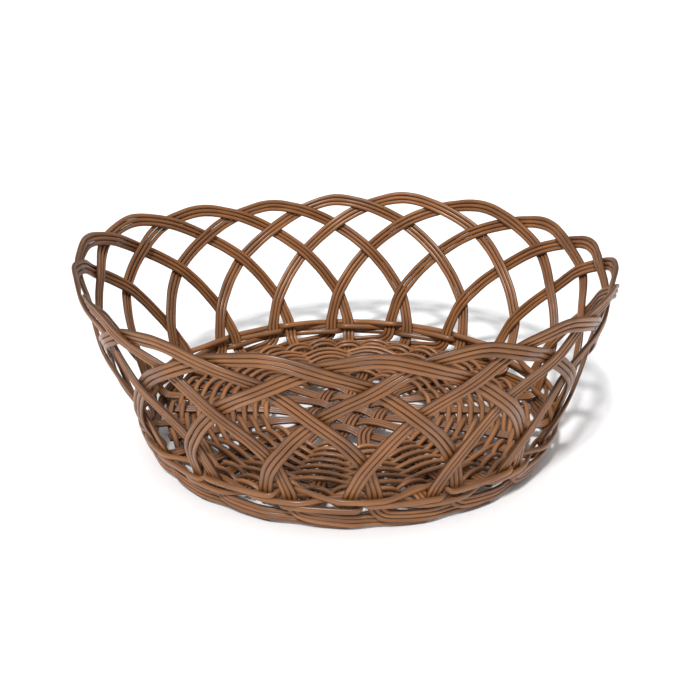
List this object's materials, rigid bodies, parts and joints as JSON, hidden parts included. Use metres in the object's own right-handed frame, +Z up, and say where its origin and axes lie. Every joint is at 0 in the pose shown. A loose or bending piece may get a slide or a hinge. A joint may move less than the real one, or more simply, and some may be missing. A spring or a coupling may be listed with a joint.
{
  "type": "bread basket",
  "caption": "Round open-weave bread basket: arched three-strand plastic cane bundles over a twined foot and woven base.",
  "frame": {"origin": "middle of the plane that the foot rests on", "axes": "+Z up through the middle of the open rim; +X and +Y in the table plane"},
  "size_m": [0.2498, 0.2496, 0.0918],
  "materials": {
    "wall_cane": "satin brown plastic cane with fine lengthwise grain",
    "weaver_cane": "satin brown plastic cane, heavier gauge",
    "base_cane": "satin brown plastic cane, a little darker in the base"
  },
  "bodies": {
    "root": {"arch_stake_01": "wall_cane", "arch_stake_02": "wall_cane", "arch_stake_03": "wall_cane", "arch_stake_04": "wall_cane", "arch_stake_05": "wall_cane", "arch_stake_06": "wall_cane", "arch_stake_07": "wall_cane", "arch_stake_08": "wall_cane", "arch_stake_09": "wall_cane", "arch_stake_10": "wall_cane", "arch_stake_11": "wall_cane", "arch_stake_12": "wall_cane", "arch_stake_13": "wall_cane", "arch_stake_14": "wall_cane", "arch_stake_15": "wall_cane", "arch_stake_16": "wall_cane", "arch_stake_17": "wall_cane", "arch_stake_18": "wall_cane", "foot_wale_1": "weaver_cane", "foot_wale_2": "weaver_cane", "foot_wale_3": "weaver_cane", "base_spoke_1": "base_cane", "base_spoke_2": "base_cane", "base_spoke_3": "base_cane", "base_spoke_4": "base_cane", "base_spoke_5": "base_cane", "base_spoke_6": "base_cane", "base_spoke_7": "base_cane", "base_spoke_8": "base_cane", "base_spoke_9": "base_cane", "base_round_01": "weaver_cane", "base_round_02": "weaver_cane", "base_round_03": "weaver_cane", "base_round_04": "weaver_cane", "base_round_05": "weaver_cane", "base_round_06": "weaver_cane", "base_round_07": "weaver_cane", "base_round_08": "weaver_cane", "base_round_09": "weaver_cane", "base_round_10": "weaver_cane", "base_round_11": "weaver_cane", "base_round_12": "weaver_cane", "base_round_13": "weaver_cane", "base_round_14": "weaver_cane", "base_round_15": "weaver_cane", "base_round_16": "weaver_cane", "base_round_17": "weaver_cane", "base_round_18": "weaver_cane"}
  },
  "joints": []
}
